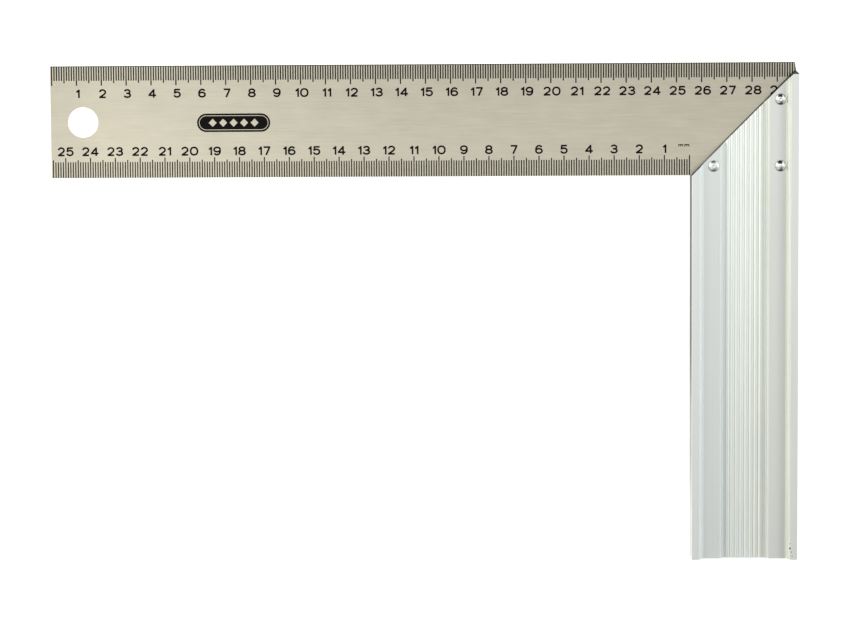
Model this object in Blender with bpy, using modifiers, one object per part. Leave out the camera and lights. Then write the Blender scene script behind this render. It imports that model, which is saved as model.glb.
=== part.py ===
"""Try square for carpentry: a steel rule riveted at a right angle into a slotted aluminium stock.

The square lies flat. +X runs along the blade, from its free end to the stock. +Y runs across
the blade, away from the foot of the stock. +Z points up, out of the front face. The origin is
at the centre of the outline, on the surface that the stock's rear flanges lie on.
Sizes are in metres.
"""

import math

import bmesh
import bpy

MM = 0.001

# Driving dimensions.
OVERALL_LENGTH = 298.8 * MM  # free end of the blade to the outer face of the stock
OVERALL_HEIGHT = 198.8 * MM  # outer edge of the blade to the foot of the stock
BLADE_WIDTH = 44.8 * MM
BLADE_THICKNESS = 1.2 * MM
BLADE_SETBACK = 0.8 * MM  # the blade's hidden end stops this far inside the stock's outer face
STOCK_WIDTH = 42.4 * MM
STOCK_THICKNESS = 16.0 * MM
HANG_HOLE_DIAMETER = 12.3 * MM
HANG_HOLE_FROM_END = 13.0 * MM
HANG_HOLE_FROM_TOP = 22.5 * MM
RIVET_DIAMETER = 4.1 * MM
RIVET_DOME = 0.5 * MM
RIVET_FROM_INNER = 8.8 * MM  # the inner rivet, from the stock's inner face
RIVET_FROM_OUTER = 7.1 * MM  # the outer rivets, from its outer face
RIVET_LOW = 41.1 * MM  # below the blade's outer edge
RIVET_HIGH = 14.7 * MM
FIT_GAP = 0.3 * MM  # left between two pieces that touch

# The stock's section, from its centre line out. Depths are below the flange.
RIB_PITCH = 1.875 * MM
RIBS_EACH_SIDE = 4
RIB_HEIGHT = 0.55 * MM
RIB_FIELD_DEPTH = 5.6 * MM
LAND_DEPTH = 4.6 * MM
VALLEY_TO = 8.2 * MM
LAND_FROM, LAND_TO = 8.5 * MM, 9.3 * MM
CHANNEL_DEPTH = 3.5 * MM
CHANNEL_FROM, CHANNEL_TO = 9.6 * MM, 16.45 * MM
LEDGE_DEPTH = 1.8 * MM
LEDGE_FROM, LEDGE_TO = 17.0 * MM, 17.55 * MM
FLANGE_FROM = 17.9 * MM
SECTION_ROUND = 0.3 * MM
FLANGE_ROUND = 0.5 * MM

# The 45 degree mitre ends where the stock is sawn off square, this far below the blade's outer
# edge, so that it has no sharp tip.
TIP_BELOW_OUTER_EDGE = 4.75 * MM

# Worked out from the above.
LEFT, RIGHT = -OVERALL_LENGTH / 2, OVERALL_LENGTH / 2
FOOT, TOP = -OVERALL_HEIGHT / 2, OVERALL_HEIGHT / 2
MIDDLE = STOCK_THICKNESS / 2  # height of the blade's middle plane
INNER = RIGHT - STOCK_WIDTH  # the stock's inner face
STOCK_CENTRE = RIGHT - STOCK_WIDTH / 2
STOCK_LENGTH = OVERALL_HEIGHT - TIP_BELOW_OUTER_EDGE
BLADE_END = RIGHT - BLADE_SETBACK
BLADE_LOW = TOP - BLADE_WIDTH
HOLE_CLEAR_DIAMETER = RIVET_DIAMETER + 2 * FIT_GAP
RIVET_PLACES = {
    "rivet_inner": (INNER + RIVET_FROM_INNER, TOP - RIVET_LOW),
    "rivet_outer_lower": (RIGHT - RIVET_FROM_OUTER, TOP - RIVET_LOW),
    "rivet_outer_upper": (RIGHT - RIVET_FROM_OUTER, TOP - RIVET_HIGH),
}

# How finely round shapes are divided.
CORNER_STEPS = 3
RIB_STEPS = 6
DOME_STEPS = 6
TURN_STEPS = 36
CIRCLE_STEPS = 64
CUTTER_SIZE = 80 * MM
WELD_DISTANCE = 0.001 * MM


def clear_scene():
    """Empties the file that the script runs in."""
    for old in list(bpy.data.objects):
        bpy.data.objects.remove(old, do_unlink=True)


def make_collection(name):
    """A new collection, linked to the scene."""
    collection = bpy.data.collections.new(name)
    bpy.context.scene.collection.children.link(collection)
    return collection


def metal(name, colour, roughness):
    """A metal surface."""
    material = bpy.data.materials.new(name)
    material.use_nodes = True
    shader = material.node_tree.nodes["Principled BSDF"]
    shader.inputs["Base Color"].default_value = (*colour, 1.0)
    shader.inputs["Metallic"].default_value = 1.0
    shader.inputs["Roughness"].default_value = roughness
    return material


def circle(centre, diameter, steps=CIRCLE_STEPS):
    """The points of a circle."""
    turns = [2 * math.pi * i / steps for i in range(steps)]
    return [
        (centre[0] + diameter / 2 * math.cos(a), centre[1] + diameter / 2 * math.sin(a))
        for a in turns
    ]


def rounded(corners, radius):
    """An open line through the corners, with each corner between its ends turned into an arc."""
    points = [corners[0]]
    for before, corner, after in zip(corners, corners[1:], corners[2:]):
        to_before = math.atan2(before[1] - corner[1], before[0] - corner[0])
        to_after = math.atan2(after[1] - corner[1], after[0] - corner[0])
        turn = (to_after - to_before + math.pi) % (2 * math.pi) - math.pi
        back = radius / abs(math.tan(turn / 2))
        reach = radius / abs(math.sin(turn / 2))
        middle = to_before + turn / 2
        centre = (corner[0] + reach * math.cos(middle), corner[1] + reach * math.sin(middle))
        start = (corner[0] + back * math.cos(to_before), corner[1] + back * math.sin(to_before))
        first = math.atan2(start[1] - centre[1], start[0] - centre[0])
        sweep = -math.copysign(math.pi - abs(turn), turn)
        for i in range(CORNER_STEPS + 1):
            angle = first + sweep * i / CORNER_STEPS
            points.append((centre[0] + radius * math.cos(angle), centre[1] + radius * math.sin(angle)))
    points.append(corners[-1])
    return points


def flat_piece(name, loops, thickness):
    """A mesh object: the area inside the first loop and outside the others, drawn in XY and
    made thickness thick, half above and half below it."""
    outline = bpy.data.curves.new(name, "CURVE")
    outline.dimensions = "2D"
    outline.fill_mode = "BOTH"
    outline.extrude = thickness / 2
    for loop in loops:
        spline = outline.splines.new("POLY")
        spline.points.add(len(loop) - 1)
        for point, (x, y) in zip(spline.points, loop):
            point.co = (x, y, 0, 1)
        spline.use_cyclic_u = True
    drawn = bpy.data.objects.new(name + "_outline", outline)
    bpy.context.scene.collection.objects.link(drawn)
    ready = drawn.evaluated_get(bpy.context.evaluated_depsgraph_get())
    mesh = bpy.data.meshes.new_from_object(ready)
    bpy.data.objects.remove(drawn)
    bpy.data.curves.remove(outline)
    shape = bmesh.new()
    shape.from_mesh(mesh)
    bmesh.ops.remove_doubles(shape, verts=shape.verts, dist=WELD_DISTANCE)
    shape.to_mesh(mesh)
    shape.free()
    return bpy.data.objects.new(name, mesh)


def cut(piece, cutter):
    """Takes the cutter's shape out of the piece."""
    cutter.hide_render = True
    cutter.display_type = "WIRE"
    step = piece.modifiers.new(cutter.name, "BOOLEAN")
    step.operation = "DIFFERENCE"
    step.solver = "EXACT"
    step.object = cutter


def box_cutter(name, size, centre, collection, turn=0.0):
    """A box, turned about Z."""
    mesh = bpy.data.meshes.new(name)
    shape = bmesh.new()
    bmesh.ops.create_cube(shape, size=1.0)
    bmesh.ops.scale(shape, vec=size, verts=shape.verts)
    shape.to_mesh(mesh)
    shape.free()
    box = bpy.data.objects.new(name, mesh)
    box.location = centre
    box.rotation_euler = (0, 0, turn)
    collection.objects.link(box)
    return box


def hole_cutter(name, centre, collection):
    """An upright rod that cuts a rivet's hole."""
    mesh = bpy.data.meshes.new(name)
    shape = bmesh.new()
    bmesh.ops.create_cone(
        shape,
        cap_ends=True,
        segments=TURN_STEPS,
        radius1=HOLE_CLEAR_DIAMETER / 2,
        radius2=HOLE_CLEAR_DIAMETER / 2,
        depth=2 * STOCK_THICKNESS,
    )
    shape.to_mesh(mesh)
    shape.free()
    rod = bpy.data.objects.new(name, mesh)
    rod.location = (*centre, MIDDLE)
    collection.objects.link(rod)
    return rod


def section_quarter():
    """The stock's section from its centre line to its side face, as (across, height) from the
    section's centre: ribs, a valley, a land, a channel, a ledge and the flange."""
    face = STOCK_THICKNESS / 2
    field = face - RIB_FIELD_DEPTH
    ribs = []
    for step in range(RIBS_EACH_SIDE * RIB_STEPS):
        share = step / RIB_STEPS
        ribs.append((share * RIB_PITCH, field + RIB_HEIGHT * abs(math.sin(math.pi * share))))
    field_edge = RIBS_EACH_SIDE * RIB_PITCH
    stairs = [
        (field_edge, field),
        (VALLEY_TO, field),
        (LAND_FROM, face - LAND_DEPTH),
        (LAND_TO, face - LAND_DEPTH),
        (CHANNEL_FROM, face - CHANNEL_DEPTH),
        (CHANNEL_TO, face - CHANNEL_DEPTH),
        (LEDGE_FROM, face - LEDGE_DEPTH),
        (LEDGE_TO, face - LEDGE_DEPTH),
        (FLANGE_FROM, face),
        (STOCK_WIDTH / 2 - FLANGE_ROUND, face),
    ]
    corner_centre = (STOCK_WIDTH / 2 - FLANGE_ROUND, face - FLANGE_ROUND)
    corner = []
    for i in range(1, CORNER_STEPS + 1):
        angle = math.pi / 2 * (1 - i / CORNER_STEPS)
        across = corner_centre[0] + FLANGE_ROUND * math.cos(angle)
        corner.append((across, corner_centre[1] + FLANGE_ROUND * math.sin(angle)))
    return ribs + rounded(stairs, SECTION_ROUND / 2) + corner


def section():
    """The whole section, mirrored about its centre line and its middle plane."""
    right_top = section_quarter()
    right_low = [(x, -z) for x, z in reversed(right_top)]
    left_low = [(-x, -z) for x, z in right_top[1:]]
    left_top = [(-x, z) for x, z in reversed(right_top[1:])]
    return right_top + right_low + left_low + left_top


def make_blade(parts):
    """The steel rule: one flat strip, with a hole to hang it by and three for the rivets."""
    edge = [(LEFT, BLADE_LOW), (BLADE_END, BLADE_LOW), (BLADE_END, TOP), (LEFT, TOP)]
    hang_hole = circle((LEFT + HANG_HOLE_FROM_END, TOP - HANG_HOLE_FROM_TOP), HANG_HOLE_DIAMETER)
    rivet_holes = [circle(at, HOLE_CLEAR_DIAMETER, TURN_STEPS) for at in RIVET_PLACES.values()]
    blade = flat_piece("blade", [edge, hang_hole, *rivet_holes], BLADE_THICKNESS)
    blade.location = (0, 0, MIDDLE)
    blade.data.materials.append(metal("stainless_steel", (0.56, 0.54, 0.46), 0.35))
    parts.objects.link(blade)


def make_stock(parts, cutters):
    """The aluminium stock: an extrusion with a mitred end, a slot for the blade and rivet holes."""
    stock = flat_piece("stock", [section()], STOCK_LENGTH)
    stock.location = (STOCK_CENTRE, FOOT + STOCK_LENGTH / 2, MIDDLE)
    stock.rotation_euler = (math.pi / 2, 0, 0)
    stock.data.materials.append(metal("satin_aluminium", (0.68, 0.70, 0.67), 0.4))
    parts.objects.link(stock)

    # The mitre starts where the blade's inner edge meets the stock, and rises at 45 degrees.
    # The cutter's lower right side lies on it.
    diagonal = math.sqrt(0.5)
    half = CUTTER_SIZE / 2
    along = STOCK_WIDTH * diagonal
    mitre_centre = (
        INNER + diagonal * (along - half),
        BLADE_LOW + diagonal * (along + half),
        MIDDLE,
    )
    mitre_size = (CUTTER_SIZE, CUTTER_SIZE, 2 * STOCK_THICKNESS)
    cut(stock, box_cutter("mitre_cutter", mitre_size, mitre_centre, cutters, math.pi / 4))

    slot_low = BLADE_LOW - FIT_GAP
    slot_size = (2 * STOCK_WIDTH, CUTTER_SIZE, BLADE_THICKNESS + 2 * FIT_GAP)
    slot_centre = (STOCK_CENTRE, slot_low + half, MIDDLE)
    cut(stock, box_cutter("slot_cutter", slot_size, slot_centre, cutters))

    for name, place in RIVET_PLACES.items():
        cut(stock, hole_cutter(name + "_hole_cutter", place, cutters))


def make_rivet(name, place, parts, material):
    """A solid rivet through both cheeks and the blade, with a low dome at each end."""
    radius = RIVET_DIAMETER / 2
    straight = STOCK_THICKNESS / 2 - CHANNEL_DEPTH
    dome_radius = (radius**2 + RIVET_DOME**2) / (2 * RIVET_DOME)
    widest = math.asin(radius / dome_radius)
    top = []
    for i in range(DOME_STEPS + 1):
        angle = widest * i / DOME_STEPS
        height = straight + RIVET_DOME - dome_radius * (1 - math.cos(angle))
        top.append((dome_radius * math.sin(angle), height))
    profile = top + [(across, -height) for across, height in reversed(top)]
    mesh = bpy.data.meshes.new(name)
    edges = [(i, i + 1) for i in range(len(profile) - 1)]
    mesh.from_pydata([(across, 0, height) for across, height in profile], edges, [])
    mesh.materials.append(material)
    rivet = bpy.data.objects.new(name, mesh)
    rivet.location = (*place, MIDDLE)
    parts.objects.link(rivet)
    turning = rivet.modifiers.new("turned", "SCREW")
    turning.steps = TURN_STEPS
    turning.render_steps = TURN_STEPS
    turning.use_merge_vertices = True
    turning.merge_threshold = WELD_DISTANCE
    turning.use_smooth_shade = True


def main():
    clear_scene()
    parts = make_collection("try_square")
    cutters = make_collection("cutters")
    make_blade(parts)
    make_stock(parts, cutters)
    rivet_metal = metal("rivet_aluminium", (0.75, 0.76, 0.75), 0.25)
    for name, place in RIVET_PLACES.items():
        make_rivet(name, place, parts, rivet_metal)


main()
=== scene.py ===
"""Looks of the try square: a satin steel rule with etched scales in a ribbed aluminium stock.

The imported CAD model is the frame. The blade, the stock and the rivets are each replaced by a
finer piece in the same place. Sizes are in metres, or in millimetres times MM.
"""

import math

import bmesh
import bpy
from mathutils import Matrix, Vector


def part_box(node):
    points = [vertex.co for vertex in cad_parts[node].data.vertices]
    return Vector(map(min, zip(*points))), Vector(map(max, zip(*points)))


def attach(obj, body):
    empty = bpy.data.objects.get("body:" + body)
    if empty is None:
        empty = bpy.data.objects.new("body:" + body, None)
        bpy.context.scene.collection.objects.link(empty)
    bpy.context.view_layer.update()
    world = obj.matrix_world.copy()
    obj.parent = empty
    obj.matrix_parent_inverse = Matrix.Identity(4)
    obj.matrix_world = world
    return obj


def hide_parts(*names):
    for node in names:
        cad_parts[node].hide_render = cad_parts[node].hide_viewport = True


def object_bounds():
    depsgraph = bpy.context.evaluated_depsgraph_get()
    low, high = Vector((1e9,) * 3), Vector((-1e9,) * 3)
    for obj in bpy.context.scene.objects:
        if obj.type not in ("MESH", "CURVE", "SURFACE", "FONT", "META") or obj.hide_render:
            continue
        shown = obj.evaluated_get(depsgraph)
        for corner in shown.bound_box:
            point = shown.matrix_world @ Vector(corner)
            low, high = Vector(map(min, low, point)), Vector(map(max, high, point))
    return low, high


MM = 0.001

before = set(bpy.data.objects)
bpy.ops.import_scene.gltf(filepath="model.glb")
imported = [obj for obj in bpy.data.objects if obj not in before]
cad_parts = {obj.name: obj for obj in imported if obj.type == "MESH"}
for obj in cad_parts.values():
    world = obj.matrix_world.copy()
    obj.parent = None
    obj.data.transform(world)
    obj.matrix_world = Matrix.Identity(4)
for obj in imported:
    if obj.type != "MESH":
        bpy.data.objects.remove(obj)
cad_low, cad_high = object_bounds()

# The frame: where the CAD pieces are.
blade_low, blade_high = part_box("blade")
stock_low, stock_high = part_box("stock")
LEFT, BLADE_END = blade_low.x, blade_high.x
TOP, BLADE_BOTTOM = blade_high.y, blade_low.y
BLADE_FACE, BLADE_THICKNESS = blade_high.z, blade_high.z - blade_low.z
MIDDLE = (stock_low.z + stock_high.z) / 2
INNER, OUTER, FOOT = stock_low.x, stock_high.x, stock_low.y
STOCK_WIDTH, STOCK_THICKNESS = OUTER - INNER, stock_high.z - stock_low.z
STOCK_CENTRE = (INNER + OUTER) / 2
RIVETS = ("rivet_inner", "rivet_outer_lower", "rivet_outer_upper")

# The stock's section, from its centre line out. Depths are below the flange.
RIB_PITCH = 1.875 * MM
RIBS_EACH_SIDE = 4
RIB_HEIGHT = 0.50 * MM
RIB_FIELD_DEPTH = 5.6 * MM
VALLEY_TO = 8.05 * MM
LAND_DEPTH = 4.6 * MM
LAND_FROM, LAND_TO = 8.5 * MM, 9.3 * MM
CHANNEL_DEPTH = 3.5 * MM
CHANNEL_FROM, CHANNEL_TO = 9.6 * MM, 16.45 * MM
LEDGE_DEPTH = 1.8 * MM
LEDGE_FROM, LEDGE_TO = 17.0 * MM, 17.55 * MM
FLANGE_FROM = 17.9 * MM
SECTION_ROUND = 0.15 * MM
FLANGE_ROUND = 0.18 * MM
TIP_BELOW_OUTER_EDGE = 4.75 * MM
TIP_RISE = 1.6 * MM  # how much further up the sawn tip reaches at the slot than at the front
TIP_CORNER_UP = 0.25 * MM  # the tip's outer corner is cut off from this far above its front edge
TIP_CORNER_FACES = (0.83, 0.56, 0)
SLOT_GAP = 0.02 * MM

HANG_HOLE_DIAMETER = 12.3 * MM
HANG_HOLE_FROM_END, HANG_HOLE_FROM_TOP = 13.0 * MM, 22.5 * MM
EDGE_BREAK = 0.08 * MM  # asked for; the bevel comes out narrower, at 0.01 to 0.04 mm
BLADE_END_SLANT = 0.45 * MM  # the hidden end's top corner stands back by this

# Facets round each hole and rivet, and along a rivet head's curve.
HANG_HOLE_STEPS, RIVET_HOLE_STEPS, RIVET_STEPS, HEAD_STEPS = 96, 48, 64, 18

# The rivets' heads: how far they rise, how early they curve and how deep their dimple is.
RIVET_HEADS = {
    "rivet_inner": (0.40 * MM, 3.2, 0.06 * MM),
    "rivet_outer_lower": (0.50 * MM, 1.9, 0.05 * MM),
    "rivet_outer_upper": (0.50 * MM, 2.1, 0.14 * MM),
}
DIMPLE_SPREAD = 0.25  # of the radius
COUNTERSINK = 0.25 * MM

# Edges turned by more than these are broken on the blade, and shaded sharp on the other pieces.
BLADE_CORNER, STOCK_CORNER, RIVET_CORNER = math.radians(40), math.radians(28), math.radians(50)

MERGE_WITHIN = 0.0005 * MM  # vertices nearer than this become one
FLAT_WITHIN = 0.002  # faces that turn by less than this, in radians, become one

# The etched marks.
ETCH_DEPTH = 0.03 * MM
SCALE_START = 0.6 * MM  # the upper scale's zero, from the blade's free end
LOWER_SCALE_START = 0.6 * MM  # the lower scale's zero, from the stock's inner face
LOWER_ZERO = INNER - LOWER_SCALE_START
UPPER_TICK_WIDTH, LOWER_TICK_WIDTH = 0.50 * MM, 0.46 * MM
UPPER_TICKS = (5.85 * MM, 6.8 * MM, 7.8 * MM)  # each millimetre, each fifth and each tenth
LOWER_TICKS = (6.4 * MM, 7.2 * MM, 8.1 * MM)
UPPER_COUNT, LOWER_COUNT = 297, 255
EDGE_LINE = 0.3 * MM
NUMBER_HEIGHT = 3.65 * MM
NUMBER_PEN = 0.71 * MM
NUMBER_GAP = 0.4 * MM
UPPER_NUMBERS_DOWN = 11.0 * MM  # the middle of the numbers, from the blade's outer edge
UPPER_NUMBERS_RIGHT = 0.45 * MM  # they stand this far to the right of their ticks
LOWER_NUMBERS_UP = 10.6 * MM
UNIT_HEIGHT, UNIT_PEN = 1.1 * MM, 0.40 * MM
UNIT_LEFT, UNIT_DOWN = 2.05 * MM, 32.9 * MM

# A plain oval mark in the blade's middle, with a thin bright line and a row of diamonds in it.
MARK_PLACE = (73.6 * MM, 22.9 * MM)  # from the blade's free end and from its outer edge
MARK_SIZE = (29.4 * MM, 7.4 * MM)
MARK_LINE_IN, MARK_LINE_WIDTH = 0.75 * MM, 0.25 * MM
DIAMONDS, DIAMOND_PITCH, DIAMOND_SIZE = 5, 4.2 * MM, (1.6 * MM, 1.6 * MM)

# Dents near the foot: across from the outer face, up from the foot, width and depth.
DENTS = (
    (3.1 * MM, 4.7 * MM, 0.75 * MM, 0.30 * MM),
    (2.5 * MM, 3.2 * MM, 0.40 * MM, 0.06 * MM),
    (3.5 * MM, 2.3 * MM, 0.50 * MM, 0.05 * MM),
    (2.2 * MM, 1.5 * MM, 0.35 * MM, 0.05 * MM),
    (3.0 * MM, 6.6 * MM, 0.30 * MM, 0.04 * MM),
)

# The stretches along Y where painted shade darkens the fence face towards the blade, and where painted
# light brightens it towards the foot.
FENCE_SHADE_DEEPENS = (-50 * MM, -12 * MM)
FENCE_BRIGHTENS = (-85 * MM, -55 * MM)

STEEL_COLOUR = (0.562, 0.529, 0.425)
COOL_ALUMINIUM, WARM_ALUMINIUM = (0.815, 0.855, 0.825), (0.818, 0.843, 0.790)

# The camera, as a turn about each axis, and its place from the middle of the outline in the plane
# of the blade's face.
CAMERA_PITCH, CAMERA_YAW, CAMERA_ROLL = math.radians(4.79), math.radians(-1.92), math.radians(0.35)
CAMERA_RIGHT, CAMERA_UP, CAMERA_AWAY = 1.64 * MM, 0.55 * MM, 1206.0 * MM
CAMERA_LENS, CAMERA_SENSOR = 126.2, 36.0

FLOOR_SIZE = 6.0
FLOOR_BELOW = 0.02 * MM


def new_object(name, data):
    """An object in the scene, at the origin."""
    made = bpy.data.objects.new(name, data)
    bpy.context.scene.collection.objects.link(made)
    return made


def new_mesh(name, shape):
    """A mesh from a bmesh, which is then freed."""
    mesh = bpy.data.meshes.new(name)
    shape.to_mesh(mesh)
    shape.free()
    return mesh


def flat_piece(name, loops, thickness):
    """A mesh object: the area inside the first loop and outside the others, drawn in XY."""
    outline = bpy.data.curves.new(name, "CURVE")
    outline.dimensions = "2D"
    outline.fill_mode = "BOTH"
    outline.extrude = thickness / 2
    for loop in loops:
        spline = outline.splines.new("POLY")
        spline.points.add(len(loop) - 1)
        for point, (x, y) in zip(spline.points, loop):
            point.co = (x, y, 0, 1)
        spline.use_cyclic_u = True
    drawn = new_object(name + "_outline", outline)
    mesh = bpy.data.meshes.new_from_object(drawn.evaluated_get(bpy.context.evaluated_depsgraph_get()))
    bpy.data.objects.remove(drawn)
    shape = bmesh.new()
    shape.from_mesh(mesh)
    bmesh.ops.remove_doubles(shape, verts=shape.verts, dist=MERGE_WITHIN)
    bmesh.ops.dissolve_limit(shape, angle_limit=FLAT_WITHIN, verts=shape.verts, edges=shape.edges)
    shape.to_mesh(mesh)
    shape.free()
    return new_object(name, mesh)


def apply_all(piece):
    """Fixes the piece's modifiers and place into its mesh."""
    bpy.context.view_layer.update()
    ready = piece.evaluated_get(bpy.context.evaluated_depsgraph_get())
    mesh = bpy.data.meshes.new_from_object(ready)
    mesh.transform(piece.matrix_world)
    piece.modifiers.clear()
    piece.data = mesh
    piece.matrix_world = Matrix.Identity(4)


def cut(piece, *cutters):
    """Takes the cutters out of the piece, one after another, and removes them."""
    for cutter in cutters:
        step = piece.modifiers.new("cut", "BOOLEAN")
        step.operation = "DIFFERENCE"
        step.solver = "EXACT"
        step.material_mode = "TRANSFER"
        step.object = cutter
        apply_all(piece)
        bpy.data.objects.remove(cutter)


def circle(centre, diameter, steps):
    """Points round a circle."""
    turns = [2 * math.pi * i / steps for i in range(steps)]
    return [
        (centre[0] + diameter / 2 * math.cos(a), centre[1] + diameter / 2 * math.sin(a))
        for a in turns
    ]


# Numbers, drawn with a pen of even width.


def arc(cx, cy, rx, ry, start, end, steps=14, power=1.0):
    """Points along part of an ellipse, angles in degrees. A power under 1 squares it a little."""
    points = []
    for i in range(steps + 1):
        a = math.radians(start + (end - start) * i / steps)
        c, s = math.cos(a), math.sin(a)
        x = cx + rx * math.copysign(abs(c) ** power, c)
        points.append((x, cy + ry * math.copysign(abs(s) ** power, s)))
    return points


def digits():
    """Each digit's width over its height, and its pen strokes in a box of 1 by 1."""
    six = [arc(0.5, 0.30, 0.5, 0.30, 0, 360, 26), arc(0.53, 0.5, 0.53, 0.5, 38, 202, 16)]
    nine = [[(1 - x, 1 - y) for x, y in stroke] for stroke in six]
    two_bowl = arc(0.5, 0.69, 0.47, 0.31, 176, -28, 16)
    return {
        "0": (0.93, [arc(0.5, 0.5, 0.5, 0.5, 0, 360, 36, 0.9)]),
        "1": (0.32, [[(-0.1, 0.74), (0.42, 0.80), (0.85, 0.93), (1, 1)], [(1, 1.08), (1, -0.08)]]),
        "2": (0.81, [two_bowl + [(0.72, 0.40), (0.45, 0.23), (0.04, 0.0)], [(-0.07, 0), (1.04, 0)]]),
        "3": (
            0.81,
            [
                arc(0.47, 0.76, 0.43, 0.24, 170, -90, 18) + [(0.30, 0.52)],
                [(0.32, 0.53)] + arc(0.47, 0.265, 0.5, 0.265, 90, -172, 18),
            ],
        ),
        "4": (
            0.90,
            [
                [(0.74, 1.0), (0.0, 0.25)],
                [(-0.08, 0.25), (1.07, 0.25)],
                [(0.72, 1.08), (0.72, -0.08)],
            ],
        ),
        "5": (
            0.81,
            [
                [(0.08, 1), (1.0, 1)],
                [(0.15, 1.08), (0.06, 0.46)],
                arc(0.48, 0.33, 0.5, 0.33, 150, -168, 20),
            ],
        ),
        "6": (0.83, six),
        "7": (0.80, [[(-0.06, 1), (1.07, 1)], [(1.0, 1.04), (0.36, -0.08)]]),
        "8": (
            0.83,
            [arc(0.5, 0.76, 0.43, 0.24, 0, 360, 24), arc(0.5, 0.265, 0.5, 0.265, 0, 360, 26)],
        ),
        "9": (0.83, nine),
    }


def unit_letter():
    """The letter m of the scale's unit, in a box of 1 by 1."""
    hump = arc(0.25, 0.62, 0.25, 0.38, 180, 0, 8) + [(0.5, -0.1)]
    second = [(x + 0.5, y) for x, y in hump]
    return 2.3, [[(0, 1.1), (0, -0.1)], hump, second]


def ribbon(stroke, pen):
    """The outline of a pen stroke: an outer and an inner loop if it closes on itself, else one."""
    closed = math.dist(stroke[0], stroke[-1]) < pen * 0.01
    points = stroke[:-1] if closed else stroke
    left, right = [], []
    for i, point in enumerate(points):
        before = points[i - 1] if closed or i else None
        after = points[(i + 1) % len(points)] if closed or i + 1 < len(points) else None
        a = Vector(point) - Vector(before) if before else Vector(after) - Vector(point)
        b = Vector(after) - Vector(point) if after else a
        a.normalize()
        b.normalize()
        middle = (a + b).normalized()
        side = Vector((-middle.y, middle.x)) * pen / 2 / max(0.4, middle.dot(a))
        left.append(tuple(Vector(point) + side))
        right.append(tuple(Vector(point) - side))
    return [left, right] if closed else [left + right[::-1]]


def glyph_mesh(name, wide, strokes, height, pen):
    """One solid for a digit or letter, with its lower left corner at the origin, and its width."""
    tall = height - pen
    pieces = []
    for stroke in strokes:
        placed = [(pen / 2 + x * wide * tall, pen / 2 + y * tall) for x, y in stroke]
        loops = ribbon(placed, pen)
        if len(loops) == 2:
            # The outer loop comes first.
            loops.sort(key=lambda loop: -max(x for x, y in loop))
        pieces.append(flat_piece(name, loops, 2 * ETCH_DEPTH))
    first = pieces[0]
    for other in pieces[1:]:
        step = first.modifiers.new("join", "BOOLEAN")
        step.operation = "UNION"
        step.solver = "EXACT"
        step.object = other
        apply_all(first)
        bpy.data.objects.remove(other)
    mesh = first.data
    bpy.data.objects.remove(first)
    return mesh, wide * tall + pen


def joined(name, placed):
    """One object from copies of meshes at their places."""
    shape = bmesh.new()
    for mesh, place in placed:
        start = len(shape.verts)
        shape.from_mesh(mesh)
        shape.verts.ensure_lookup_table()
        bmesh.ops.translate(shape, vec=place, verts=shape.verts[start:])
    return new_object(name, new_mesh(name, shape))


def number_cutters():
    """The numbers of both scales and the unit, as one object."""
    glyphs = {c: glyph_mesh(c, *g, NUMBER_HEIGHT, NUMBER_PEN) for c, g in digits().items()}
    placed = []

    def write(text, x, y):
        """Sets a number with its middle at x, y."""
        width = sum(glyphs[c][1] for c in text) + NUMBER_GAP * (len(text) - 1)
        x -= width / 2
        for c in text:
            placed.append((glyphs[c][0], (x, y - NUMBER_HEIGHT / 2, BLADE_FACE)))
            x += glyphs[c][1] + NUMBER_GAP

    for number in range(1, UPPER_COUNT // 10 + 1):
        x = LEFT + SCALE_START + number * 10 * MM + UPPER_NUMBERS_RIGHT
        write(str(number), x, TOP - UPPER_NUMBERS_DOWN)
    for number in range(1, LOWER_COUNT // 10 + 1):
        write(str(number), LOWER_ZERO - number * 10 * MM, BLADE_BOTTOM + LOWER_NUMBERS_UP)
    letter, advance = glyph_mesh("m", *unit_letter(), UNIT_HEIGHT, UNIT_PEN)
    for i in range(2):
        x = LOWER_ZERO - UNIT_LEFT + (i - 1) * (advance + UNIT_PEN)
        placed.append((letter, (x, TOP - UNIT_DOWN - UNIT_HEIGHT / 2, BLADE_FACE)))
    return joined("numbers", placed)


def tick_length(count, lengths):
    """The length of a tick, which is longer at each fifth and each tenth."""
    if count % 10 == 0:
        return lengths[2]
    return lengths[1] if count % 5 == 0 else lengths[0]


def tick_cutters():
    """Both scales' ticks: the upper ones hang from a line along the edge, like a comb."""
    over = 1.0 * MM
    comb = [(LEFT - over, TOP + over), (LEFT - over, TOP - EDGE_LINE)]
    for count in range(UPPER_COUNT + 1):
        x = LEFT + SCALE_START + count * MM
        low = TOP - tick_length(count, UPPER_TICKS)
        comb += [
            (x - UPPER_TICK_WIDTH / 2, TOP - EDGE_LINE),
            (x - UPPER_TICK_WIDTH / 2, low),
            (x + UPPER_TICK_WIDTH / 2, low),
            (x + UPPER_TICK_WIDTH / 2, TOP - EDGE_LINE),
        ]
    # The last one, under the stock, runs on past the blade's end; its black there is painted shade at
    # the blade's end, above the stock's tip.
    comb[-2:] = [(BLADE_END + over, comb[-2][1]), (BLADE_END + over, TOP + over)]
    upper = flat_piece("upper_ticks", [comb], 2 * ETCH_DEPTH)
    upper.location.z = BLADE_FACE
    lower = []
    for count in range(LOWER_COUNT + 1):
        x = LOWER_ZERO - count * MM
        high = BLADE_BOTTOM + tick_length(count, LOWER_TICKS)
        lower.append(
            [
                (x - LOWER_TICK_WIDTH / 2, BLADE_BOTTOM - over),
                (x + LOWER_TICK_WIDTH / 2, BLADE_BOTTOM - over),
                (x + LOWER_TICK_WIDTH / 2, high),
                (x - LOWER_TICK_WIDTH / 2, high),
            ]
        )
    lower_piece = flat_piece("lower_ticks", lower, 2 * ETCH_DEPTH)
    lower_piece.location.z = BLADE_FACE
    return upper, lower_piece


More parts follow.
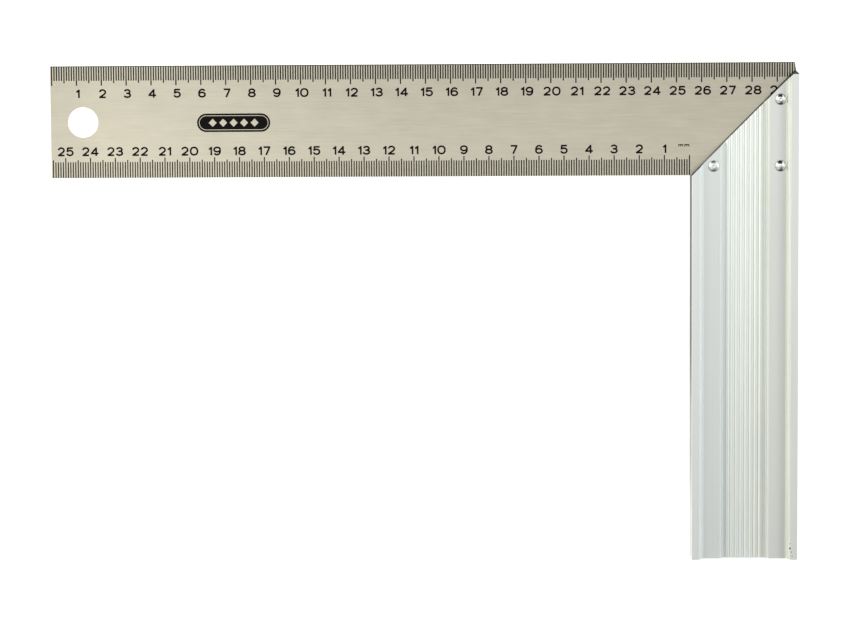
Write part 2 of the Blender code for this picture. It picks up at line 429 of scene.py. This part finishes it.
def mark_cutters():
    """The oval mark: a black rim, and a black field with diamonds of bright steel left in it."""
    cx, cy = LEFT + MARK_PLACE[0], TOP - MARK_PLACE[1]
    field_in = MARK_LINE_IN + MARK_LINE_WIDTH

    def oval(inset):
        """The mark's outline, moved in by this much."""
        reach = MARK_SIZE[1] / 2 - inset
        straight = (MARK_SIZE[0] - MARK_SIZE[1]) / 2
        right = arc(cx + straight, cy, reach, reach, -90, 90, 20)
        return right + arc(cx - straight, cy, reach, reach, 90, 270, 20)

    field = [oval(field_in)]
    wide, tall = DIAMOND_SIZE
    for i in range(DIAMONDS):
        x = cx + (i - (DIAMONDS - 1) / 2) * DIAMOND_PITCH
        field.append([(x - wide, cy), (x, cy - tall), (x + wide, cy), (x, cy + tall)])
    rim_piece = flat_piece("mark_rim", [oval(0), oval(MARK_LINE_IN)], 2 * ETCH_DEPTH)
    field_piece = flat_piece("mark_field", field, 2 * ETCH_DEPTH)
    rim_piece.location.z = BLADE_FACE
    field_piece.location.z = BLADE_FACE
    return rim_piece, field_piece


# Materials.


class Tree:
    """Adds nodes to a material's or the world's tree, a call for each."""

    def __init__(self, owner):
        owner.use_nodes = True
        self.tree = owner.node_tree
        self.nodes = self.tree.nodes
        self.nodes.clear()

    def add(self, kind, settings=None, **inputs):
        """A node. The input _3 is the fourth one; in other names, _ stands for a space."""
        made = self.nodes.new(kind)
        for key, value in (settings or {}).items():
            setattr(made, key, value)
        for key, value in inputs.items():
            socket = made.inputs[int(key[1:])] if key[0] == "_" else made.inputs[key.replace("_", " ")]
            if isinstance(value, bpy.types.NodeSocket):
                self.tree.links.new(value, socket)
            else:
                socket.default_value = value
        return made

    def math(self, operation, a, b=0.0, c=0.0):
        """A sum, product or other operation on values."""
        return self.add("ShaderNodeMath", {"operation": operation}, _0=a, _1=b, _2=c).outputs[0]

    def place(self, scale):
        """The piece's own coordinates, scaled along each axis."""
        coordinates = self.add("ShaderNodeTexCoord").outputs["Object"]
        return self.add("ShaderNodeMapping", Vector=coordinates, Scale=scale).outputs[0]

    def noise(self, scale, detail=3.0, rough=0.55):
        """Noise, with about this many waves a metre along each axis."""
        vector = self.place(scale)
        made = self.add(
            "ShaderNodeTexNoise", Vector=vector, Scale=1.0, Detail=detail, Roughness=rough
        )
        return made.outputs[0]

    def spread(self, value, low, high):
        """Maps noise, which stays mostly between 0.3 and 0.7, to low and high."""
        return self.add(
            "ShaderNodeMapRange", Value=value, From_Min=0.3, From_Max=0.7, To_Min=low, To_Max=high
        ).outputs[0]

    def ramp(self, value, low, high, start, end):
        """Eases from start to end while the value goes from low to high."""
        return self.add(
            "ShaderNodeMapRange",
            {"interpolation_type": "SMOOTHSTEP"},
            Value=value,
            From_Min=low,
            From_Max=high,
            To_Min=start,
            To_Max=end,
        ).outputs[0]

    def blend(self, factor, first, second):
        """A colour that goes from the first to the second as the factor goes from 0 to 1."""
        made = self.add(
            "ShaderNodeMix", {"data_type": "RGBA"}, _0=factor, _6=(*first, 1.0), _7=(*second, 1.0)
        )
        return made.outputs[2]

    def coordinate(self, axis):
        """One of the piece's own coordinates, 0 for X, 1 for Y and 2 for Z."""
        coordinates = self.add("ShaderNodeTexCoord").outputs["Object"]
        return self.add("ShaderNodeSeparateXYZ", Vector=coordinates).outputs[axis]

    def tint(self, colour, factor):
        """A colour made lighter or darker by a factor around 1."""
        made = self.add(
            "ShaderNodeVectorMath", {"operation": "SCALE"}, _0=colour, Scale=factor
        )
        return made.outputs[0]

    def bump(self, height, distance, strength=1.0):
        """A normal tilted by the slope of a height."""
        return self.add(
            "ShaderNodeBump", Height=height, Distance=distance, Strength=strength
        ).outputs[0]

    def principled(self, **inputs):
        """The shader, joined to the material's output."""
        shader = self.add("ShaderNodeBsdfPrincipled", **inputs)
        self.add("ShaderNodeOutputMaterial", Surface=shader.outputs[0])


def brushed_steel():
    """Satin stainless steel with brush lines along X, a few of them deeper scratches."""
    material = bpy.data.materials.new("brushed_steel")
    t = Tree(material)
    fine = t.noise((60, 9000, 200), 2.0)
    broad = t.noise((75, 1200, 100), 4.0, 0.6)
    cloud = t.noise((90, 190, 100), 3.0)
    scratch = t.ramp(t.noise((70, 2600, 100), 0.0), 0.74, 0.80, 0.0, 1.0)
    streaks = t.math("ADD", t.spread(fine, -0.03, 0.03), t.spread(broad, -0.055, 0.055))
    shade = t.math("ADD", streaks, t.spread(cloud, 0.965, 1.035))
    # Painted light and shade: the blade darker towards its outer edge, a broad painted highlight over
    # the half towards its free end, and painted shade close to that end.
    across = t.ramp(t.coordinate(1), BLADE_BOTTOM, TOP, 1.05, 0.94)
    lengthways = t.coordinate(0)
    painted_highlight_half = t.ramp(lengthways, LEFT + 20 * MM, 0.0, 1.13, 1.0)
    painted_shade_end = t.ramp(lengthways, LEFT, LEFT + 25 * MM, 0.92, 1.0)
    lengthwise_shade = t.math("MULTIPLY", painted_highlight_half, painted_shade_end)
    shade = t.math("ADD", shade, t.math("MULTIPLY", scratch, 0.05))
    shade = t.math("MULTIPLY", t.math("MULTIPLY", shade, across), lengthwise_shade)
    # Painted shade along the stock's 45 degree faces.
    shade = t.math("MULTIPLY", shade, corner_grime(t))
    height = t.math("ADD", fine, t.math("MULTIPLY", broad, 0.5))
    t.principled(
        Base_Color=t.tint(STEEL_COLOUR, shade),
        Metallic=1.0,
        Roughness=t.math("ADD", t.spread(broad, -0.03, 0.03), 0.34),
        Normal=t.bump(t.math("SUBTRACT", height, scratch), 0.004 * MM, 0.6),
    )
    return material


def corner_grime(t):
    """Painted shade: a thin dark line on the blade where it meets the stock's sawn 45 degree faces."""
    from_corner = t.math("SUBTRACT", t.coordinate(0), INNER)
    from_edge = t.math("SUBTRACT", t.coordinate(1), BLADE_BOTTOM)
    away = t.math("MULTIPLY", t.math("SUBTRACT", from_edge, from_corner), math.sqrt(0.5))
    near = t.ramp(away, 0.1 * MM, 0.6 * MM, 1.0, 0.0)
    strength = t.ramp(from_corner, 4 * MM, 16 * MM, 0.0, 0.85)
    return t.math("SUBTRACT", 1.0, t.math("MULTIPLY", near, strength))


def etched_black():
    """The blackened floor of the etched marks."""
    material = bpy.data.materials.new("etched_black")
    t = Tree(material)
    grain = t.noise((3000, 3000, 3000), 3.0)
    t.principled(
        Base_Color=t.tint((0.006, 0.0055, 0.005), t.spread(grain, 0.7, 1.5)),
        Metallic=0.0,
        Roughness=t.spread(grain, 0.55, 0.75),
        Specular_IOR_Level=0.08,
        Normal=t.bump(grain, 0.003 * MM, 0.5),
    )
    return material


def extruded_aluminium(name, shading, metallic=None):
    """Matt extruded aluminium with die lines along Y; the functions say where shade is painted on it,
    and where it is not metallic.
    """
    material = bpy.data.materials.new(name)
    t = Tree(material)
    fine = t.noise((7000, 12, 7000), 2.0)
    broad = t.noise((1500, 8, 1500), 3.0)
    cloud = t.noise((60, 25, 60), 2.0)
    streaks = t.math("ADD", t.spread(fine, -0.01, 0.01), t.spread(broad, -0.014, 0.014))
    shade = t.math("ADD", streaks, t.spread(cloud, 0.99, 1.01))
    shade = t.math("MULTIPLY", shade, shading(t))
    across = t.ramp(t.coordinate(0), INNER, OUTER, 0.0, 1.0)
    colour = t.blend(across, COOL_ALUMINIUM, WARM_ALUMINIUM)
    t.principled(
        Base_Color=t.tint(colour, shade),
        Metallic=metallic(t) if metallic else 1.0,
        Specular_IOR_Level=0.1,
        Roughness=t.math("ADD", t.spread(broad, -0.03, 0.03), 0.36),
        Normal=t.bump(t.math("ADD", fine, broad), 0.004 * MM, 0.5),
    )
    return material


def channel_shade(t):
    """Painted shade: the channels' floors grow darker towards their outer walls, and the ribs darker
    too, most near the foot.
    """
    across = t.math("SUBTRACT", t.coordinate(0), STOCK_CENTRE)
    aside = t.math("ABSOLUTE", across)
    right = t.ramp(across, 12.2 * MM, 15.9 * MM, 0.02, 0.17)
    left = t.ramp(across, -16.2 * MM, -13.2 * MM, 0.08, 0.02)
    floor_only = t.math("LESS_THAN", aside, CHANNEL_TO + 0.1 * MM)
    channels = t.math("SUBTRACT", 1.0, t.math("MULTIPLY", t.math("ADD", right, left), floor_only))
    # The ribs take painted shade, deepest at the foot.
    ribbed = t.math("LESS_THAN", aside, VALLEY_TO)
    rib_painted_shade = t.math("MULTIPLY", ribbed, t.ramp(t.coordinate(1), FOOT, BLADE_BOTTOM, 0.16, 0.06))
    return t.math("MULTIPLY", channels, t.math("SUBTRACT", 1.0, rib_painted_shade))


def fence_shade(t):
    """Painted shade and light: the fence face is dark near the blade, and painted brighter near the
    foot.
    """
    along = t.coordinate(1)
    upper = t.ramp(along, *FENCE_SHADE_DEEPENS, 0.36, 0.03)
    lower = t.ramp(along, *FENCE_BRIGHTENS, 1.9, 1.0)
    return t.math("MULTIPLY", upper, lower)


def fence_metal(t):
    """Where shade is painted on the fence face, it is not metallic, so that it stays dark."""
    return t.ramp(t.coordinate(1), *FENCE_SHADE_DEEPENS, 1.0, 0.0)


def sawn_aluminium(name, base, rough, metallic=1.0):
    """A sawn face, with coarse lines left by the teeth; a dark one, rough and not metallic, is painted
    shade.
    """
    material = bpy.data.materials.new(name)
    t = Tree(material)
    teeth = t.noise((900, 900, 60), 3.0, 0.6)
    patches = t.noise((300, 300, 300), 2.0)
    shade = t.math("MULTIPLY", t.spread(teeth, 0.82, 1.18), t.spread(patches, 0.88, 1.12))
    t.principled(
        Base_Color=t.tint(base, shade),
        Metallic=metallic,
        Specular_IOR_Level=0.1,
        Roughness=t.math("ADD", t.spread(teeth, -0.06, 0.06), rough),
        Normal=t.bump(teeth, 0.02 * MM, 0.7),
    )
    return material


def rivet_aluminium(name, colour, rough):
    """Aluminium smoothed by the rivet set, brighter or duller."""
    material = bpy.data.materials.new(name)
    t = Tree(material)
    grain = t.noise((2500, 2500, 2500), 3.0)
    t.principled(
        Base_Color=t.tint(colour, t.spread(grain, 0.97, 1.03)),
        Metallic=1.0,
        Roughness=t.spread(grain, rough - 0.025, rough + 0.025),
        Normal=t.bump(grain, 0.004 * MM, 0.5),
    )
    return material


def pale_floor():
    """A light table: pale, and glowing a little, so that it takes no shadows."""
    material = bpy.data.materials.new("pale_floor")
    t = Tree(material)
    grain = t.noise((8, 8, 8), 2.0)
    t.principled(
        Base_Color=t.tint((0.6, 0.6, 0.6), t.spread(grain, 0.995, 1.005)),
        Roughness=0.9,
        Emission_Color=(1.0, 1.0, 1.0, 1.0),
        Emission_Strength=0.8,
    )
    return material


# Pieces.


def rivet_place(name):
    """A rivet's centre, its radius and half its length."""
    low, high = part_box(name)
    centre = ((low.x + high.x) / 2, (low.y + high.y) / 2)
    return centre, (high.x - low.x) / 2, (high.z - low.z) / 2


def make_blade(steel, black):
    """The steel rule, with its scales and numbers etched into the front face."""
    edge = [
        (LEFT, BLADE_BOTTOM),
        (BLADE_END, BLADE_BOTTOM),
        (BLADE_END, TOP - TIP_BELOW_OUTER_EDGE + TIP_RISE),
        (BLADE_END - BLADE_END_SLANT, TOP),
        (LEFT, TOP),
    ]
    hole_centre = (LEFT + HANG_HOLE_FROM_END, TOP - HANG_HOLE_FROM_TOP)
    hole = circle(hole_centre, HANG_HOLE_DIAMETER, HANG_HOLE_STEPS)
    rivet_holes = []
    for name in RIVETS:
        centre, radius, _ = rivet_place(name)
        rivet_holes.append(circle(centre, 2 * radius + 2 * SLOT_GAP, RIVET_HOLE_STEPS))
    blade = flat_piece("blade_etched", [edge, hole, *rivet_holes], BLADE_THICKNESS)
    blade.location.z = MIDDLE
    blade.data.materials.append(steel)
    broken = blade.modifiers.new("edge_break", "BEVEL")
    broken.width = EDGE_BREAK
    broken.segments = 2
    broken.limit_method = "ANGLE"
    broken.angle_limit = BLADE_CORNER
    apply_all(blade)
    for cutter in (*tick_cutters(), number_cutters(), *mark_cutters()):
        cutter.data.materials.append(black)
        cut(blade, cutter)
    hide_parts("blade")
    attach(blade, "root")


def rounded(corners, radius, steps=5):
    """An open line through the corners, with each corner between its ends turned into an arc."""
    points = [corners[0]]
    for before, corner, after in zip(corners, corners[1:], corners[2:]):
        to_before = math.atan2(before[1] - corner[1], before[0] - corner[0])
        to_after = math.atan2(after[1] - corner[1], after[0] - corner[0])
        turn = (to_after - to_before + math.pi) % (2 * math.pi) - math.pi
        back = radius / abs(math.tan(turn / 2))
        reach = radius / abs(math.sin(turn / 2))
        middle = to_before + turn / 2
        centre = (corner[0] + reach * math.cos(middle), corner[1] + reach * math.sin(middle))
        start = (corner[0] + back * math.cos(to_before), corner[1] + back * math.sin(to_before))
        first = math.atan2(start[1] - centre[1], start[0] - centre[0])
        sweep = -math.copysign(math.pi - abs(turn), turn)
        for i in range(steps + 1):
            angle = first + sweep * i / steps
            points.append((centre[0] + radius * math.cos(angle), centre[1] + radius * math.sin(angle)))
    points.append(corners[-1])
    return points


def section():
    """The stock's section, as (across, height) from its centre."""
    face = STOCK_THICKNESS / 2
    half_width = STOCK_WIDTH / 2
    field = face - RIB_FIELD_DEPTH
    rib_steps, corner_steps = 14, 8
    quarter = []
    for step in range(RIBS_EACH_SIDE * rib_steps):
        share = step / rib_steps
        quarter.append((share * RIB_PITCH, field + RIB_HEIGHT * abs(math.sin(math.pi * share))))
    stairs = [
        (RIBS_EACH_SIDE * RIB_PITCH, field),
        (VALLEY_TO, field),
        (LAND_FROM, face - LAND_DEPTH),
        (LAND_TO, face - LAND_DEPTH),
        (CHANNEL_FROM, face - CHANNEL_DEPTH),
        (CHANNEL_TO, face - CHANNEL_DEPTH),
        (LEDGE_FROM, face - LEDGE_DEPTH),
        (LEDGE_TO, face - LEDGE_DEPTH),
        (FLANGE_FROM, face),
        (half_width - FLANGE_ROUND, face),
    ]
    quarter += rounded(stairs, SECTION_ROUND)
    for i in range(1, corner_steps + 1):
        angle = math.pi / 2 * (1 - i / corner_steps)
        across = half_width - FLANGE_ROUND * (1 - math.cos(angle))
        quarter.append((across, face - FLANGE_ROUND * (1 - math.sin(angle))))
    low_right = [(x, -z) for x, z in reversed(quarter)]
    low_left = [(-x, -z) for x, z in quarter[1:]]
    high_left = [(-x, z) for x, z in reversed(quarter[1:])]
    return quarter + low_right + low_left + high_left


def box_cutter(low, high):
    """A box between two corners, for cutting."""
    shape = bmesh.new()
    bmesh.ops.create_cube(shape, size=1.0)
    bmesh.ops.scale(shape, vec=Vector(high) - Vector(low), verts=shape.verts)
    bmesh.ops.translate(shape, vec=(Vector(high) + Vector(low)) / 2, verts=shape.verts)
    return new_object("box_cutter", new_mesh("box_cutter", shape))


def turned(name, profile, steps):
    """A solid turned about Z from a profile of (radius, height), top to bottom."""
    mesh = bpy.data.meshes.new(name)
    edges = [(i, i + 1) for i in range(len(profile) - 1)]
    mesh.from_pydata([(radius, 0, height) for radius, height in profile], edges, [])
    piece = new_object(name, mesh)
    turning = piece.modifiers.new("turned", "SCREW")
    turning.steps = steps
    turning.render_steps = steps
    turning.use_merge_vertices = True
    turning.merge_threshold = MERGE_WITHIN
    apply_all(piece)
    return piece


def stock_planes():
    """The stock's sawn faces, each a point and the normal that looks out of the metal."""
    diagonal = math.sqrt(0.5)
    tip = Vector((OUTER, TOP - TIP_BELOW_OUTER_EDGE, stock_high.z))
    slope = TIP_RISE / (STOCK_THICKNESS / 2)
    low_tip = Vector((tip.x, tip.y, stock_low.z))
    return [
        (Vector((INNER, BLADE_BOTTOM, 0)), Vector((-diagonal, diagonal, 0))),
        (tip, Vector((0, 1, slope)).normalized()),
        (low_tip, Vector((0, 1, -slope)).normalized()),
        (tip + Vector((0, TIP_CORNER_UP, 0)), Vector(TIP_CORNER_FACES).normalized()),
    ]


def dent_cutter():
    """Small round dents in the front face near the foot."""
    placed = []
    for across, up, width, depth in DENTS:
        radius = (width * width / 4 + depth * depth) / (2 * depth)
        shape = bmesh.new()
        bmesh.ops.create_uvsphere(shape, u_segments=24, v_segments=24, radius=radius)
        place = (OUTER - across, FOOT + up, stock_high.z + radius - depth)
        placed.append((new_mesh("dent", shape), place))
    return joined("dents", placed)


def finish_edges(piece):
    """Smooth shading over the small arcs, with flat faces kept flat."""
    piece.data.shade_smooth()
    piece.data.set_sharp_from_angle(angle=STOCK_CORNER)
    weighted = piece.modifiers.new("flat_faces", "WEIGHTED_NORMAL")
    weighted.keep_sharp = True


def make_stock(metal, fence, sawn, foot_metal, slot_metal):
    """The extrusion: cut at 45 degrees, slotted for the blade and bored for the rivets."""
    shape = bmesh.new()
    ring = [shape.verts.new((STOCK_CENTRE + x, FOOT, MIDDLE + z)) for x, z in section()]
    face = shape.faces.new(ring)
    grown = bmesh.ops.extrude_face_region(shape, geom=[face])
    top = [v for v in grown["geom"] if isinstance(v, bmesh.types.BMVert)]
    bmesh.ops.translate(shape, vec=(0, TOP - FOOT, 0), verts=top)
    for point, normal in stock_planes():
        whole = shape.verts[:] + shape.edges[:] + shape.faces[:]
        done = bmesh.ops.bisect_plane(
            shape, geom=whole, dist=1e-7, plane_co=point, plane_no=normal, clear_outer=True
        )
        rim = [e for e in done["geom_cut"] if isinstance(e, bmesh.types.BMEdge)]
        bmesh.ops.contextual_create(shape, geom=rim)
    bmesh.ops.recalc_face_normals(shape, faces=shape.faces)
    # The fence face looks left, the sawn 45 degree faces and the tip look up, and the foot looks down.
    materials = (metal, fence, sawn, foot_metal)
    for face in shape.faces:
        if face.normal.x < -0.95 and face.calc_center_median().x < INNER + 0.1 * MM:
            face.material_index = materials.index(fence)
        elif face.normal.y > 0.4:
            face.material_index = materials.index(sawn)
        elif face.normal.y < -0.9:
            face.material_index = materials.index(foot_metal)
    mesh = new_mesh("stock_extrusion", shape)
    for material in materials:
        mesh.materials.append(material)
    stock = new_object("stock_extrusion", mesh)
    half = BLADE_THICKNESS / 2 + SLOT_GAP
    over = 2 * MM
    slot_low = (INNER - over, BLADE_BOTTOM - SLOT_GAP, MIDDLE - half)
    slot_high = (OUTER + over, TOP + over, MIDDLE + half)
    # The slot's walls take a near-black material: painted shade.
    slot = box_cutter(slot_low, slot_high)
    slot.data.materials.append(slot_metal)
    cut(stock, slot)
    for name in RIVETS:
        centre, radius, _ = rivet_place(name)
        floor = STOCK_THICKNESS / 2 - CHANNEL_DEPTH
        profile = [
            (0, STOCK_THICKNESS),
            (radius + COUNTERSINK, STOCK_THICKNESS),
            (radius + COUNTERSINK, floor),
            (radius + SLOT_GAP, floor - COUNTERSINK),
            (radius + SLOT_GAP, -floor + COUNTERSINK),
            (radius + COUNTERSINK, -floor),
            (radius + COUNTERSINK, -STOCK_THICKNESS),
            (0, -STOCK_THICKNESS),
        ]
        bore = turned(name + "_bore", profile, RIVET_HOLE_STEPS)
        bore.location = (*centre, MIDDLE)
        bore.data.materials.append(metal)
        cut(stock, bore)
    # The dents are lined with the dark sawn material: painted shade in them.
    dents = dent_cutter()
    dents.data.materials.append(sawn)
    cut(stock, dents)
    finish_edges(stock)
    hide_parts("stock")
    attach(stock, "root")


def make_rivet(name, metal):
    """A peened rivet: a low dome with a dimple in its middle."""
    centre, radius, reach = rivet_place(name)
    rise, power, dimple = RIVET_HEADS[name]
    top = []
    for i in range(HEAD_STEPS + 1):
        share = i / HEAD_STEPS
        hollow = dimple * math.exp(-((share / DIMPLE_SPREAD) ** 2))
        top.append((radius * share, reach - rise * share**power - hollow))
    profile = top + [(across, -height) for across, height in reversed(top)]
    rivet = turned(name + "_peened", profile, RIVET_STEPS)
    rivet.location = (*centre, MIDDLE)
    apply_all(rivet)
    rivet.data.materials.append(metal)
    rivet.data.shade_smooth()
    rivet.data.set_sharp_from_angle(angle=RIVET_CORNER)
    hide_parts(name)
    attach(rivet, "root")


def make_floor(material):
    """The table that the square lies on."""
    shape = bmesh.new()
    bmesh.ops.create_grid(shape, x_segments=1, y_segments=1, size=FLOOR_SIZE)
    mesh = new_mesh("floor", shape)
    mesh.materials.append(material)
    floor = new_object("floor", mesh)
    floor.location.z = cad_low.z - FLOOR_BELOW


def make_light():
    """A soft studio: a sky whose brightness depends on which way a direction leans, and how far."""
    world = bpy.data.worlds.new("studio")
    bpy.context.scene.world = world
    t = Tree(world)
    direction = t.add("ShaderNodeTexCoord").outputs["Generated"]
    x, y, z = t.add("ShaderNodeSeparateXYZ", Vector=direction).outputs
    # The ceiling is paler towards the left and towards the blade.
    across = t.math("MULTIPLY", t.math("MAXIMUM", t.math("MINIMUM", x, 0.2), -0.3), -1.5)
    along = t.math("MULTIPLY", t.math("MAXIMUM", t.math("MINIMUM", y, 0.1), -0.28), 2.5)
    level = t.math("ADD", t.math("ADD", across, along), 1.13)
    # Lower down, it is paler on the right and darker on the left, and then bright on both sides.
    level = t.math("ADD", level, t.ramp(x, 0.2, 0.5, 0.0, 0.40))
    level = t.math("ADD", level, t.ramp(x, -0.6, -0.3, -0.33, 0.0))
    aside = t.math("ABSOLUTE", x)
    level = t.math("ADD", level, t.ramp(aside, 0.65, 0.9, 0.0, 0.75))
    # It is dark beyond the blade and beyond the foot.
    back = t.math("MULTIPLY", t.ramp(y, 0.22, 0.42, 0.0, 0.97), t.ramp(aside, 0.25, 0.55, 1.0, 0.0))
    front = t.math("MULTIPLY", t.ramp(y, -0.75, -0.5, 0.95, 0.0), t.ramp(aside, 0.3, 0.6, 1.0, 0.0))
    level = t.math("MULTIPLY", level, t.math("SUBTRACT", 1.0, t.math("ADD", back, front)))
    level = t.math("MAXIMUM", level, 0.03)
    # Near the level of the floor it is pale all round.
    low_sky = t.ramp(z, 0.02, 0.2, 1.0, 0.0)
    level = t.add("ShaderNodeMix", _0=low_sky, _2=level, _3=1.1).outputs[0]
    # It is a little bluer from the right and yellower from the left.
    cool = t.blend(t.ramp(x, 0.15, 0.6, 0.0, 1.0), (1.0, 1.0, 1.0), (0.97, 0.99, 1.05))
    warm = t.blend(t.ramp(x, -0.6, -0.15, 1.0, 0.0), (1.0, 1.0, 1.0), (1.03, 1.02, 0.93))
    colour = t.add("ShaderNodeVectorMath", {"operation": "MULTIPLY"}, _0=cool, _1=warm).outputs[0]
    background = t.add("ShaderNodeBackground", Color=colour, Strength=level)
    t.add("ShaderNodeOutputWorld", Surface=background.outputs[0])
    bpy.context.scene.view_settings.view_transform = "Standard"


def make_camera():
    """The camera, almost straight above the square."""
    turn = (
        Matrix.Rotation(CAMERA_ROLL, 4, "Z")
        @ Matrix.Rotation(CAMERA_PITCH, 4, "X")
        @ Matrix.Rotation(CAMERA_YAW, 4, "Y")
    ).transposed()
    centre = Vector(((cad_low.x + cad_high.x) / 2, (cad_low.y + cad_high.y) / 2, BLADE_FACE))
    away = turn @ Vector((CAMERA_RIGHT, CAMERA_UP, CAMERA_AWAY))
    camera = new_object("camera", bpy.data.cameras.new("camera"))
    camera.data.lens = CAMERA_LENS
    camera.data.sensor_width = CAMERA_SENSOR
    camera.matrix_world = Matrix.Translation(centre + away) @ turn
    bpy.context.scene.camera = camera


make_blade(brushed_steel(), etched_black())
make_stock(
    extruded_aluminium("extruded_aluminium", channel_shade),
    extruded_aluminium("fence_aluminium_painted_shade", fence_shade, fence_metal),
    # The dark sawn material, on the 45 degree faces, the tip and the dents, is painted shade; so is
    # the near-black of the slot's walls.
    sawn_aluminium("sawn_painted_shade", (0.050, 0.050, 0.047), 0.7, 0.0),
    sawn_aluminium("sawn_bright", (0.86, 0.88, 0.84), 0.34),
    sawn_aluminium("slot_walls_painted_shade", (0.03, 0.03, 0.028), 0.7, 0.0),
)
bright_rivets = rivet_aluminium("rivet_bright", (0.76, 0.77, 0.75), 0.10)
make_rivet("rivet_inner", rivet_aluminium("rivet_dull", (0.80, 0.81, 0.79), 0.27))
make_rivet("rivet_outer_lower", bright_rivets)
make_rivet("rivet_outer_upper", bright_rivets)
make_floor(pale_floor())
make_light()
make_camera()
